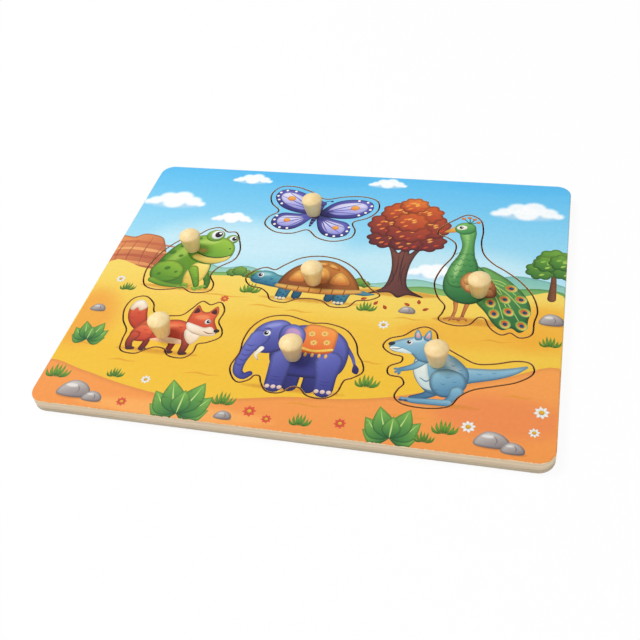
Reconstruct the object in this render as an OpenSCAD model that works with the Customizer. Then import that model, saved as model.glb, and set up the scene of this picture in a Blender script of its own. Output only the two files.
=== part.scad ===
// Wooden peg puzzle: a printed face sheet with seven animals sawn out of it,
// glued on a backing board. Each animal lies loose in its own pocket and has a
// turned wooden knob to lift it by. The board lies flat on z = 0, its middle is
// the origin and its front edge faces -Y. All sizes are in millimetres.

/* [Board] */
// Width of the board, left to right
board_w = 300; // [255:1:360]
// Depth of the board, front to back
board_d = 234; // [200:1:280]
// Radius of the board's corners
corner_r = 9.5; // [4:0.5:24]
// Thickness of the backing board
backing_t = 3; // [2:0.5:6]
// Thickness of the face sheet and of the animals sawn out of it
sheet_t = 6; // [4:0.5:10]
// Gap that the saw leaves all round an animal
saw_gap = 1; // [0.4:0.1:1.5]

/* [Knobs] */
// Largest diameter of a knob
knob_d = 14; // [12:0.5:18]
// Height of a knob above its animal
knob_h = 15.5; // [13:0.5:22]
// Height of the domed top of a knob, from its widest line up
crown_h = 4.1; // [3:0.1:6]
// Rounding between the domed top and the tapered side
shoulder_r = 2; // [1:0.1:2.8]
// Diameter of the foot that stands on the animal
foot_d = 9.4; // [7:0.2:11]
// Diameter of the tenon below the foot
tenon_d = 6; // [4:0.2:6.4]
// Glue gap all round the tenon
glue_gap = 0.05; // [0.05:0.05:0.2]
// Height left free below the tenon
tenon_rise = 0.5; // [0.2:0.1:1.5]

/* [Frog] */
// Width of the frog
frog_w = 58; // [52:1:62]
// Height of the frog in the picture
frog_h = 66; // [60:1:70]
// Middle of the frog, right of the board's middle
frog_x = -91; // [-93:0.5:-88]
// Middle of the frog, behind the board's middle
frog_y = 16; // [14:0.5:20]

/* [Butterfly] */
// Span of the butterfly's wings
butterfly_w = 81; // [74:1:86]
// Height of the butterfly in the picture
butterfly_h = 51; // [46:1:56]
// Middle of the butterfly, right of the board's middle
butterfly_x = -19; // [-23:0.5:-15]
// Middle of the butterfly, behind the board's middle
butterfly_y = 71; // [69:0.5:75]
// Tilt of the butterfly, clockwise in degrees
butterfly_tilt = 8; // [0:1:14]

/* [Turtle] */
// Length of the turtle
turtle_w = 89; // [82:1:94]
// Height of the turtle in the picture
turtle_h = 45; // [41:1:48]
// Middle of the turtle, right of the board's middle
turtle_x = -5; // [-8:0.5:0]
// Middle of the turtle, behind the board's middle
turtle_y = 4; // [2:0.5:6]

/* [Peacock] */
// Width of the peacock, beak to train
peacock_w = 68; // [62:1:72]
// Height of the peacock in the picture
peacock_h = 110; // [102:1:114]
// Middle of the peacock, right of the board's middle
peacock_x = 100; // [97:0.5:103]
// Middle of the peacock, behind the board's middle
peacock_y = 24; // [22:0.5:28]

/* [Fox] */
// Length of the fox, tail to nose
fox_w = 71; // [64:1:74]
// Height of the fox in the picture
fox_h = 49; // [45:1:52]
// Middle of the fox, right of the board's middle
fox_x = -85; // [-89:0.5:-82]
// Middle of the fox, behind the board's middle
fox_y = -48; // [-52:0.5:-46]

/* [Elephant] */
// Length of the elephant, trunk to tail
elephant_w = 77; // [70:1:80]
// Height of the elephant in the picture
elephant_h = 61; // [55:1:63]
// Middle of the elephant, right of the board's middle
elephant_x = 2; // [-1:0.5:4]
// Middle of the elephant, behind the board's middle
elephant_y = -60; // [-63:0.5:-58]

/* [Kangaroo] */
// Length of the kangaroo, nose to tail
kangaroo_w = 87; // [80:1:90]
// Height of the kangaroo in the picture
kangaroo_h = 60; // [55:1:63]
// Middle of the kangaroo, right of the board's middle
kangaroo_x = 92; // [90:0.5:95]
// Middle of the kangaroo, behind the board's middle
kangaroo_y = -59; // [-62:0.5:-57]

/* [Hidden] */

// Facets of a full circle where one is drawn
$fn = 96;
// Straight steps from one point of an outline to the next
curve_steps = 7;
// Board that the animals' sizes and places above are given for. On another board they move
// with it, and grow or shrink by its tighter side.
drawn_w = 300;
drawn_d = 234;
animal_scale = min(board_w / drawn_w, board_d / drawn_d);
full_percent = 100;
// Level of the printed face
face_z = backing_t + sheet_t;
foot_r = foot_d / 2;
tenon_r = tenon_d / 2;
// Knob section: middle of the shoulder's arc, then the dome that runs into that arc
shoulder = [knob_d / 2 - shoulder_r, knob_h - crown_h];
dome_r = (shoulder.x * shoulder.x + crown_h * crown_h - shoulder_r * shoulder_r)
    / (crown_h - shoulder_r) / 2;
dome_middle = [0, knob_h - dome_r];
dome_end = dome_middle + dome_r * (shoulder - dome_middle) / norm(shoulder - dome_middle);
// Place on the shoulder where the straight taper from the foot touches it
to_foot = [foot_r, 0] - shoulder;
touch = atan2(to_foot.y, to_foot.x) + acos(shoulder_r / norm(to_foot));
taper_end = shoulder + shoulder_r * [cos(touch), sin(touch)];

// Outlines run counter-clockwise and give each point as a percentage of the
// animal's width, from its left, and of its height, from its lower edge.
frog_percent = [
    [6, 8], [20, 1], [40, 3], [52, 7], [66, 1], [84, 4], [86, 14], [78, 26], [83, 39],
    [97, 52], [99, 66], [94, 80], [86, 93], [75, 93], [64, 99], [51, 95], [42, 86],
    [24, 76], [9, 56], [1, 30]
];
butterfly_half_percent = [
    [50, 15], [62, 3], [76, 1], [88, 12], [89, 27], [84, 39], [85, 47], [94, 58],
    [99, 76], [95, 94], [82, 99], [66, 93], [50, 82]
];
// The other wing is the same half, mirrored and run backwards
butterfly_percent = concat(butterfly_half_percent, [
    for (i = [len(butterfly_half_percent) - 2 : -1 : 1])
        [full_percent - butterfly_half_percent[i].x, butterfly_half_percent[i].y]
]);
turtle_percent = [
    [24, 4], [34, 1], [42, 10], [52, 13], [61, 10], [68, 1], [79, 3], [84, 16], [93, 20],
    [99, 30], [92, 40], [86, 54], [77, 78], [64, 95], [49, 100], [35, 93], [25, 76],
    [19, 64], [11, 67], [3, 57], [0, 42], [5, 29], [14, 25], [20, 16]
];
peacock_percent = [
    [18, 9], [30, 6], [43, 7], [50, 13], [57, 13], [63, 6], [72, 2], [80, 4], [88, 1],
    [97, 4], [98, 13], [100, 22], [95, 33], [84, 43], [70, 51], [57, 57], [47, 65], [43, 75],
    [43, 86], [39, 96], [27, 100], [16, 95], [4, 87], [2, 81], [12, 78], [21, 72],
    [20, 61], [12, 50], [8, 38], [13, 27], [21, 20], [20, 14]
];
fox_percent = [
    [17, 3], [30, 0], [38, 8], [46, 14], [55, 12], [61, 2], [74, 1], [80, 11], [81, 25],
    [89, 30], [98, 40], [97, 52], [91, 66], [92, 85], [86, 99], [78, 93], [69, 98],
    [63, 84], [57, 71], [46, 67], [35, 67], [28, 73], [24, 87], [14, 98], [4, 92],
    [1, 74], [5, 54], [13, 37], [14, 19]
];
elephant_percent = [
    [4, 14], [10, 8], [17, 12], [20, 18], [25, 18], [28, 10], [34, 1], [44, 1], [51, 9],
    [58, 9], [65, 1], [77, 0], [85, 8], [88, 23], [94, 28], [100, 36], [98, 47], [93, 57],
    [89, 72], [79, 87], [64, 93], [51, 92], [40, 96], [28, 99], [14, 94], [5, 80],
    [2, 62], [3, 44], [0, 26]
];
kangaroo_percent = [
    [16, 8], [23, 1], [38, 0], [50, 5], [55, 17], [63, 27], [76, 34], [90, 42], [99, 54],
    [97, 65], [88, 66], [75, 60], [63, 58], [52, 66], [42, 75], [36, 84], [33, 95],
    [26, 100], [19, 95], [13, 86], [4, 80], [1, 70], [7, 62], [15, 59], [15, 51],
    [8, 44], [9, 35], [17, 33], [20, 25], [17, 17]
];

// One row for each animal: middle, size, knob and outline as percentages, tilt
frog = [[frog_x, frog_y], [frog_w, frog_h], [43, 63], frog_percent, 0];
butterfly = [
    [butterfly_x, butterfly_y], [butterfly_w, butterfly_h], [47, 49], butterfly_percent, butterfly_tilt
];
turtle = [[turtle_x, turtle_y], [turtle_w, turtle_h], [50, 46], turtle_percent, 0];
peacock = [[peacock_x, peacock_y], [peacock_w, peacock_h], [48.5, 31.5], peacock_percent, 0];
fox = [[fox_x, fox_y], [fox_w, fox_h], [47, 36], fox_percent, 0];
elephant = [[elephant_x, elephant_y], [elephant_w, elephant_h], [45, 46], elephant_percent, 0];
kangaroo = [[kangaroo_x, kangaroo_y], [kangaroo_w, kangaroo_h], [38, 55], kangaroo_percent, 0];
ANIMALS = [frog, butterfly, turtle, peacock, fox, elephant, kangaroo];

// What the row of an animal gives on this board
function middle_of(animal) = [animal[0].x * board_w / drawn_w, animal[0].y * board_d / drawn_d];
function size_of(animal) = animal[1] * animal_scale;
function knob_percent_of(animal) = animal[2];
function outline_percent_of(animal) = animal[3];
function tilt_of(animal) = animal[4];

// Percentages of an animal's width and height as a place on the board
function turned(p, angle) = [p.x * cos(angle) + p.y * sin(angle), p.y * cos(angle) - p.x * sin(angle)];
function on_board(animal, percent) =
    let (size = size_of(animal), share = percent / full_percent - [0.5, 0.5])
    middle_of(animal) + turned([share.x * size.x, share.y * size.y], tilt_of(animal));
function knob_place(animal) = on_board(animal, knob_percent_of(animal));

// Smooth curve from b to c with its neighbours a and d: the point at s, and the slope there
function curve_point(a, b, c, d, s) =
    b + s * (c - a) / 2 + s * s * (2 * a - 5 * b + 4 * c - d) / 2
    + s * s * s * (3 * b - a - 3 * c + d) / 2;
function curve_slope(a, b, c, d, s) =
    (c - a) / 2 + s * (2 * a - 5 * b + 4 * c - d) + s * s * (3 * b - a - 3 * c + d) * 3 / 2;

// Closed outline of an animal, grown outwards by a gap
function outline(animal, gap = 0) =
    let (
        points = [for (percent = outline_percent_of(animal)) on_board(animal, percent)],
        count = len(points)
    )
    [
        for (i = [0 : count - 1], step = [0 : curve_steps - 1])
            let (
                a = points[(i + count - 1) % count],
                b = points[i],
                c = points[(i + 1) % count],
                d = points[(i + 2) % count],
                s = step / curve_steps,
                slope = curve_slope(a, b, c, d, s)
            )
            curve_point(a, b, c, d, s) + gap * [slope.y, -slope.x] / norm(slope)
    ];

module board_outline() {
    square([board_w - 2 * corner_r, board_d], center = true);
    square([board_w, board_d - 2 * corner_r], center = true);
    for (side_x = [-1, 1], side_y = [-1, 1])
        translate([side_x * (board_w / 2 - corner_r), side_y * (board_d / 2 - corner_r)])
            circle(r = corner_r);
}

// Animal sawn from the face sheet, with the drilled hole for its knob
module sawn_animal(animal) {
    translate([0, 0, backing_t])
        linear_extrude(sheet_t)
            difference() {
                polygon(outline(animal));
                translate(knob_place(animal)) circle(r = tenon_r + glue_gap);
            }
}

// Half section of a knob: domed top, rounded shoulder, straight taper to the foot, tenon
module knob_section() {
    union() {
        intersection() {
            translate(dome_middle) circle(r = dome_r);
            translate([0, shoulder.y]) square([dome_end.x, crown_h]);
        }
        translate(shoulder) circle(r = shoulder_r);
        polygon([[0, 0], [foot_r, 0], taper_end, shoulder, dome_end, [0, dome_end.y]]);
        translate([0, tenon_rise - sheet_t]) square([tenon_r, sheet_t - tenon_rise]);
    }
}

module turned_knob(animal) {
    translate([knob_place(animal).x, knob_place(animal).y, face_z]) rotate_extrude() knob_section();
}

module backing_board() {
    color("burlywood") linear_extrude(backing_t) board_outline();
}

module frame_board() {
    color("gold")
        translate([0, 0, backing_t])
            linear_extrude(sheet_t)
                difference() {
                    board_outline();
                    for (animal = ANIMALS) polygon(outline(animal, saw_gap));
                }
}

module frog_piece() {
    color("yellowgreen") sawn_animal(frog);
}

module frog_knob() {
    color("wheat") turned_knob(frog);
}

module butterfly_piece() {
    color("slateblue") sawn_animal(butterfly);
}

module butterfly_knob() {
    color("wheat") turned_knob(butterfly);
}

module turtle_piece() {
    color("teal") sawn_animal(turtle);
}

module turtle_knob() {
    color("wheat") turned_knob(turtle);
}

module peacock_piece() {
    color("seagreen") sawn_animal(peacock);
}

module peacock_knob() {
    color("wheat") turned_knob(peacock);
}

module fox_piece() {
    color("tomato") sawn_animal(fox);
}

module fox_knob() {
    color("wheat") turned_knob(fox);
}

module elephant_piece() {
    color("darkslateblue") sawn_animal(elephant);
}

module elephant_knob() {
    color("wheat") turned_knob(elephant);
}

module kangaroo_piece() {
    color("skyblue") sawn_animal(kangaroo);
}

module kangaroo_knob() {
    color("wheat") turned_knob(kangaroo);
}

backing_board();
frame_board();
frog_piece();
frog_knob();
butterfly_piece();
butterfly_knob();
turtle_piece();
turtle_knob();
peacock_piece();
peacock_knob();
fox_piece();
fox_knob();
elephant_piece();
elephant_knob();
kangaroo_piece();
kangaroo_knob();
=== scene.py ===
# %% [markdown]
# # A wooden peg puzzle
# The part is a flat board with seven animals sawn out of its printed face. Each animal lies loose in
# its pocket and carries a turned knob to lift it by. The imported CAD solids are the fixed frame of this
# lesson. Every piece that is made here takes its place and its outline from them, in metres, and rides
# on one of their bodies.

# %% Load the solids
import math
import bpy
import numpy as np
from mathutils import Matrix, Vector
from mathutils.geometry import delaunay_2d_cdt


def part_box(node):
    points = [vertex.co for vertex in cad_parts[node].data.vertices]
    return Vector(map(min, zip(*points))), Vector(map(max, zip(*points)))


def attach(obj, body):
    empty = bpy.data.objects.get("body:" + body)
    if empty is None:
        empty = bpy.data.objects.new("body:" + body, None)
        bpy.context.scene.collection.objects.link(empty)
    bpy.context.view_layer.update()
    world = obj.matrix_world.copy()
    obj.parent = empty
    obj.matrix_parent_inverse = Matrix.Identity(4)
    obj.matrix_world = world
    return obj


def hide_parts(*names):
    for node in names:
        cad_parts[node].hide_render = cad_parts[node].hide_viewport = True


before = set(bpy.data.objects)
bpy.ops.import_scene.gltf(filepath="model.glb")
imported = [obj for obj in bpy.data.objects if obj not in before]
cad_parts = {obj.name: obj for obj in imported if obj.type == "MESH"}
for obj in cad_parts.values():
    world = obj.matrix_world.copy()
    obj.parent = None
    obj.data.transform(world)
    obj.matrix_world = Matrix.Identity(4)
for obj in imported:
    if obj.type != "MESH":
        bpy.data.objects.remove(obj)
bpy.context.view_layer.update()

MM = 0.001
ANIMALS = ("frog", "butterfly", "turtle", "peacock", "fox", "elephant", "kangaroo")

# %% [markdown]
# ## Camera
# The photograph looks down on the board from the front right, with the camera rolled a little. The
# angles come from the four edges of the board, which meet in two vanishing points. A camera matrix is
# built from them here: back, right and up are the three axes of a Blender camera, and the roll turns
# right and up about the line of sight.

# %% Camera
azimuth = math.radians(19.11)
elevation = math.radians(44.47)
roll = math.radians(-8.34)
distance = 541.3 * MM
looked_at = Vector((4.0, -22.3, 0.0)) * MM

back = Vector((
    math.sin(azimuth) * math.cos(elevation),
    -math.cos(azimuth) * math.cos(elevation),
    math.sin(elevation),
))
level_right = (-back).cross(Vector((0, 0, 1))).normalized()
level_up = level_right.cross(-back)
right = math.cos(roll) * level_right + math.sin(roll) * level_up
up = -math.sin(roll) * level_right + math.cos(roll) * level_up

lens = bpy.data.cameras.new("photo_camera")
lens.sensor_width = 36.0
lens.lens = 48.9
lens.clip_start = 0.01
lens.clip_end = 50.0
camera = bpy.data.objects.new("photo_camera", lens)
bpy.context.scene.collection.objects.link(camera)
turned_to = Matrix((right, up, back)).transposed().to_4x4()
camera.matrix_world = Matrix.Translation(looked_at + distance * back) @ turned_to
bpy.context.scene.camera = camera
print("camera at", [round(c, 4) for c in camera.matrix_world.translation])

# %% [markdown]
# ## Studio
# The board lies on a white table in soft light that comes mostly from above and from the left, so the
# right sides of the knobs are a little darker. The lamps and the sky together light a level surface
# about as bright as its colour is written. The table looks white to the camera by a share of its own
# glow, and keeps a faint shadow from the share that is plain diffuse white. The sky is white too where
# it is seen, and dimmer where it lights.

# %% Helpers for node trees
def add_node(tree, kind, values=None, **settings):
    made = tree.nodes.new("ShaderNode" + kind)
    for key, value in settings.items():
        setattr(made, key, value)
    for socket, value in (values or {}).items():
        if isinstance(value, bpy.types.NodeSocket):
            tree.links.new(value, made.inputs[socket])
        else:
            made.inputs[socket].default_value = value
    return made


def new_material(name):
    material = bpy.data.materials.new(name)
    material.use_nodes = True
    material.node_tree.nodes.clear()
    return material, material.node_tree


def seen_white(tree):
    rays = add_node(tree, "LightPath").outputs
    seen = add_node(tree, "Math", {0: rays["Is Camera Ray"], 1: rays["Is Glossy Ray"]}, operation="MAXIMUM")
    through = {0: seen.outputs["Value"], 1: rays["Is Transmission Ray"]}
    return add_node(tree, "Math", through, operation="MAXIMUM").outputs["Value"]


# %% Table
GLOW_SHARE = 0.92
TABLE_REACH = 6.0
TABLE_LEVEL = -0.2 * MM

table_material, tree = new_material("white_table")
paper_fibres = add_node(tree, "TexNoise", {"Scale": 900.0})
paper_tone = add_node(tree, "MapRange", {
    "Value": paper_fibres.outputs["Fac"], "To Min": 0.92, "To Max": 0.95})
plain_white = add_node(tree, "BsdfDiffuse", {"Color": paper_tone.outputs["Result"]})
glow = add_node(tree, "Emission")
glow_share = add_node(tree, "Math", {0: seen_white(tree), 1: GLOW_SHARE}, operation="MULTIPLY")
table_mix = add_node(tree, "MixShader", {
    "Fac": glow_share.outputs["Value"], 1: plain_white.outputs["BSDF"], 2: glow.outputs["Emission"]})
add_node(tree, "OutputMaterial", {"Surface": table_mix.outputs["Shader"]})

table_mesh = bpy.data.meshes.new("table")
corner_signs = ((-1, -1), (1, -1), (1, 1), (-1, 1))
table_corners = [(x * TABLE_REACH, y * TABLE_REACH, TABLE_LEVEL) for x, y in corner_signs]
table_mesh.from_pydata(table_corners, [], [(0, 1, 2, 3)])
table_mesh.materials.append(table_material)
table = bpy.data.objects.new("table", table_mesh)
bpy.context.scene.collection.objects.link(table)
print("stage:", table.name, "reach:", TABLE_REACH, "m")


# %% Lamps and sky
def soft_lamp(name, place, size, power):
    data = bpy.data.lights.new(name, "AREA")
    data.shape = "DISK"
    data.size = size
    data.energy = power
    lamp = bpy.data.objects.new(name, data)
    bpy.context.scene.collection.objects.link(lamp)
    lamp.location = place
    lamp.rotation_euler = (-Vector(place)).to_track_quat("-Z", "Y").to_euler()
    print(name, "at", place, "with", power, "W")


soft_lamp("key_lamp", (-0.95, 0.2, 1.75), 0.9, 24.0)
soft_lamp("fill_lamp", (0.6, -1.2, 1.0), 1.0, 5.5)

SKY_LIGHT = 0.42
sky = bpy.data.worlds.new("studio")
sky.use_nodes = True
tree = sky.node_tree
strength = add_node(tree, "MapRange", {"Value": seen_white(tree), "To Min": SKY_LIGHT, "To Max": 1.0})
background = tree.nodes["Background"]
background.inputs["Color"].default_value = (1, 1, 1, 1)
tree.links.new(strength.outputs["Result"], background.inputs["Strength"])
bpy.context.scene.world = sky
bpy.context.scene.view_settings.view_transform = "Standard"
print("sky:", sky.name, "lights at", SKY_LIGHT)

# %% [markdown]
# ## Drawing the picture
# The real sheet is printed before it is sawn, so the picture runs on across the saw lines. It could be
# a stack of thin flat meshes, but they would flicker and hide each other. Here each motif is an outline
# in millimetres on the board with its own ink, and the outlines are laid on each other in order, as a
# painter does. Later the printed face is cut into triangles along all of these outlines, and each
# triangle's corners take the ink that lies over them.

# %% Smooth curves through a few given points
CURVE_STEPS = 6


def curve_between(a, b, c, d):
    s = np.linspace(0, 1, CURVE_STEPS, endpoint=False)[:, None]
    bend = 2 * a - 5 * b + 4 * c - d
    return b + s * (c - a) / 2 + s ** 2 * bend / 2 + s ** 3 * (3 * b - a - 3 * c + d) / 2


def smooth_loop(points):
    points = np.array(points, float)
    count = len(points)
    spans = [
        curve_between(points[i - 1], points[i], points[(i + 1) % count], points[(i + 2) % count])
        for i in range(count)
    ]
    return np.vstack(spans)


def smooth_line(points):
    points = np.array(points, float)
    ends = np.vstack([2 * points[0] - points[1], points, 2 * points[-1] - points[-2]])
    spans = [curve_between(*ends[i:i + 4]) for i in range(len(points) - 1)]
    return np.vstack(spans + [points[-1:]])


# %% Ovals, bands, leaves and lobes
def oval(x, y, across, tall, tilt=0):
    count = int(np.clip(10 + 5 * max(across, tall), 12, 40))
    turn = np.linspace(0, 2 * np.pi, count, endpoint=False)
    lean = math.radians(tilt)
    u, v = across * np.cos(turn), tall * np.sin(turn)
    c, s = math.cos(lean), math.sin(lean)
    return np.stack([x + u * c - v * s, y + u * s + v * c], 1)


def band(points, widths):
    line = smooth_line(points)
    half = np.interp(np.linspace(0, 1, len(line)), np.linspace(0, 1, len(widths)), widths) / 2
    along = np.gradient(line, axis=0)
    along /= np.linalg.norm(along, axis=1)[:, None]
    side = np.stack([-along[:, 1], along[:, 0]], 1) * half[:, None]

    def round_end(i, direction):
        fan = math.atan2(direction[1], direction[0]) + np.radians([60, 30, 0, -30, -60])
        return line[i] + half[i] * np.stack([np.cos(fan), np.sin(fan)], 1)

    ends = round_end(-1, along[-1]), round_end(0, -along[0])
    return np.vstack([line + side, ends[0], (line - side)[::-1], ends[1]])


def leaf(root, tip, width, bend=0.0):
    root, tip = np.array(root, float), np.array(tip, float)
    along = tip - root
    side = np.array([-along[1], along[0]]) / np.linalg.norm(along)
    s = np.linspace(0, 1, 11)
    middle = root + s[:, None] * along + (np.sin(s * np.pi) * bend)[:, None] * side
    half = (width / 2 * np.sin(np.pi * s ** 0.8))[:, None] * side
    return np.vstack([middle + half, (middle - half)[-2:0:-1]])


def lobed(x, y, across, tall, lobes, turn):
    t = np.linspace(0, 2 * np.pi, lobes * 9, endpoint=False)
    r = 0.92 + 0.16 * np.abs(np.sin(t * lobes / 2 + turn))
    return np.stack([x + across * r * np.cos(t), y + tall * r * np.sin(t)], 1)


# %% Inks, laid on in order
inks = []


def colour(code):
    return np.array([int(code[i:i + 2], 16) for i in (0, 2, 4)], float)


def paint(outline, light, dark=None, angle=80, rim=0.0, rim_width=1.6, fade=0.0, cover=1.0, span=None):
    outline = np.array(outline, float)
    area = np.cross(outline, np.roll(outline, -1, 0)).sum()
    lean = math.radians(angle)
    heading = np.array([math.cos(lean), math.sin(lean)])
    run = outline @ heading
    inks.append({
        "outline": outline if area > 0 else outline[::-1],
        "light": colour(light), "dark": colour(dark or light),
        "heading": heading, "span": span or (run.min(), run.max()),
        "rim": rim, "rim_width": rim_width, "fade": fade, "cover": cover,
    })


# %% Brushes
def blob(points, *tones, **finish):
    paint(smooth_loop(points), *tones, **finish)


def stroke(points, widths, *tones, **finish):
    paint(band(points, widths), *tones, **finish)


def dot(x, y, across, tall, tilt, *tones, **finish):
    paint(oval(x, y, across, tall, tilt), *tones, **finish)


def mist(outline, tone, cover, fade):
    paint(outline, tone, cover=cover, fade=fade)


# %% [markdown]
# ## Landscape
# The print behind the animals is a simple warm landscape: a blue sky that pales to the horizon, far
# hills, yellow sand and an orange foreground. Broad soft areas are single outlines whose ink fades at
# the edge, which gives the airbrushed look of such prints without any picture file.

# %% Sky, clouds and far hills
def told(motif):
    print(motif + ":", len(inks), "outlines so far")


paint([(-152, -119), (152, -119), (152, 119), (-152, 119)], "5abcee", "c0e8f2", angle=90, span=(0, 117))
mist(oval(-60, 36, 80, 34), "ceecf6", 0.8, 26)
mist(oval(70, 26, 80, 28), "ceecf4", 0.7, 24)
mist(oval(-40, 110, 64, 14), "54b8f0", 0.6, 12)
mist(oval(110, 112, 50, 12), "54baf0", 0.5, 10)


def cloud(x, y, size):
    mist(oval(x, y - 4 * size, 26 * size, 7 * size), "b8daf0", 0.85, 4 * size)
    puffs = ((-21, -3, 5), (-15, -1, 7), (-6, 3, 9), (5, 4, 10), (15, 0, 8), (22, -3, 5), (0, -2, 10))
    for puff_x, puff_y, r in puffs:
        mist(oval(x + puff_x * size, y + puff_y * size, r * size, 0.85 * r * size), "fcfeff", 0.95, 3 * size)


for x, y, size in ((-127, 76, 0.95), (-76, 106, 0.6), (-78, 60, 0.6), (122, 86, 0.95), (24, 109, 0.55),
                   (68, 20, 0.7)):
    cloud(x, y, size)

blob([(-152, 2), (-152, 17), (-132, 22), (-112, 14), (-92, 18), (-70, 9), (-52, 12), (-30, 6), (0, 10),
      (30, 5), (58, 12), (84, 8), (104, 17), (124, 22), (152, 14), (152, 0), (60, -4), (-60, -4)], "7ebcb2",
     "aad8c2", angle=90, rim=0.14)
blob([(-152, -2), (-152, 8), (-136, 11), (-118, 6), (-96, 9), (-74, 4), (-50, 6), (-20, 2), (12, 5), (40, 2),
      (66, 6), (92, 3), (116, 9), (136, 12), (152, 8), (152, -4), (0, -6)],
     "68a25a", "96be6e", angle=90, rim=0.18)
told("sky, clouds and far hills")

# %% Flat-topped rock with layers
blob([(-107, 1), (-111, 15), (-117, 29), (-122, 35), (-134, 37), (-141, 33), (-154, 31), (-154, 1)],
     "e8985c", "a8543e", angle=130, rim=0.28)
for y, tone in ((27, "be6646"), (20, "f4b674"), (13, "b25a40"), (6, "eca464")):
    stroke([(-112 + 0.3 * (y - 10), y - 2), (-124, y), (-138, y + 1), (-152, y - 1)], (1.0, 3.0, 2.6, 1.5),
           tone, cover=0.75)
for x, low, high in ((-118, 4, 26), (-128, 6, 34), (-138, 3, 30), (-146, 5, 28)):
    stroke([(x, low), (x - 0.8, (low + high) / 2), (x + 0.6, high)], (0.3, 1.0, 0.3), "8c4436", cover=0.6)
told("flat-topped rock with layers")

# %% Sand and foreground
blob([(-152, -1), (-120, 2), (-84, 0), (-40, 3), (0, 0), (44, 2), (84, -1), (120, 3), (152, 0), (152, -119),
      (0, -121), (-152, -119)], "f2d466", "eebe3a", angle=90, span=(-70, 2))
mist(oval(-142, -46, 28, 34), "ec9e40", 0.75, 18)
mist(oval(-92, -12, 42, 14), "f6ce60", 0.7, 10)
mist(oval(10, -40, 72, 20), "eebc3c", 0.55, 14)
mist(oval(100, -32, 52, 18), "eeae3a", 0.65, 12)
mist(oval(138, -22, 34, 26), "eeac38", 0.8, 14)
blob([(-152, -86), (-126, -90), (-98, -97), (-64, -102), (-30, -99), (2, -93), (34, -90), (62, -84),
      (92, -73), (120, -62), (152, -54), (152, -119), (0, -121), (-152, -119)], "f3a052", "ee944a", angle=90,
     rim=0.08, rim_width=3)
mist(oval(120, -90, 42, 22), "e67e52", 0.5, 14)
mist(oval(-60, -112, 64, 9), "f7b462", 0.65, 6)
ripples = ((-60, -18, 34), (60, -24, 20), (-30, -24, 24), (44, -62, 16), (-52, -84, 22), (112, -36, 18),
           (-132, -70, 16), (14, -98, 26), (70, -98, 24), (128, -76, 16), (-104, -80, 20), (-8, -26, 18))
for x, y, w in ripples:
    stroke([(x - w / 2, y), (x - w / 6, y + 1.4), (x + w / 6, y + 0.4), (x + w / 2, y + 1.2)],
           (0.2, 1.4, 1.1, 0.2), "da9630", cover=0.6)
told("sand and foreground")


# %% Bushes
def bush(x, y, size):
    for turn, (at_x, at_y, r) in enumerate(((-5, 2, 4.5), (5, 2, 4.2), (0, 4, 5.4))):
        paint(lobed(x + at_x * size, y + at_y * size, r * size, 0.9 * r * size, 7, turn),
              "8cb04a", "467638", angle=80, rim=0.3, rim_width=1.4)


for x, y, size in ((-56, 3, 0.9), (-44, 2, 0.7), (24, 2, 0.8), (92, 3, 0.8)):
    bush(x, y, size)
told("bushes")

# %% Round tree
def leaf_flecks(x, y, size, count, tones):
    for k in range(count):
        a = 2.4 * k
        r = size * (0.25 + 0.6 * ((k * 0.37) % 1))
        tip = x + r * math.cos(a), y + 0.8 * r * math.sin(a)
        paint(leaf((tip[0] - 1.7, tip[1] - 0.8), (tip[0] + 1.8, tip[1] + 1.0), 1.8), tones[k % len(tones)],
              cover=0.85)


def round_tree(x, y, size):
    stroke([(x, y), (x + 0.5, y + 14 * size), (x, y + 26 * size)], (5 * size, 3.4 * size, 2.4 * size),
           "96603c", "5c382c", angle=0, rim=0.3)
    crown = ((-7, 24, 9, 8), (7, 25, 9, 8), (0, 34, 10, 9), (-4, 30, 8, 7), (5, 32, 8, 7))
    for turn, (at_x, at_y, across, tall) in enumerate(crown):
        paint(lobed(x + at_x * size, y + at_y * size, across * size, tall * size, 8, turn),
              "7aaa40", "3a6e32", angle=70, rim=0.3, rim_width=2)
        leaf_flecks(x + at_x * size, y + at_y * size, 0.8 * across * size, 4, ("b0ce5c", "96c050"))


round_tree(142, 4, 1.05)
told("round tree")

# %% Autumn tree
def ground_shadow(x, y, across, tall=2.8):
    mist(oval(x, y, across, tall), "c8842e", 0.65, 2.0)


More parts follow.
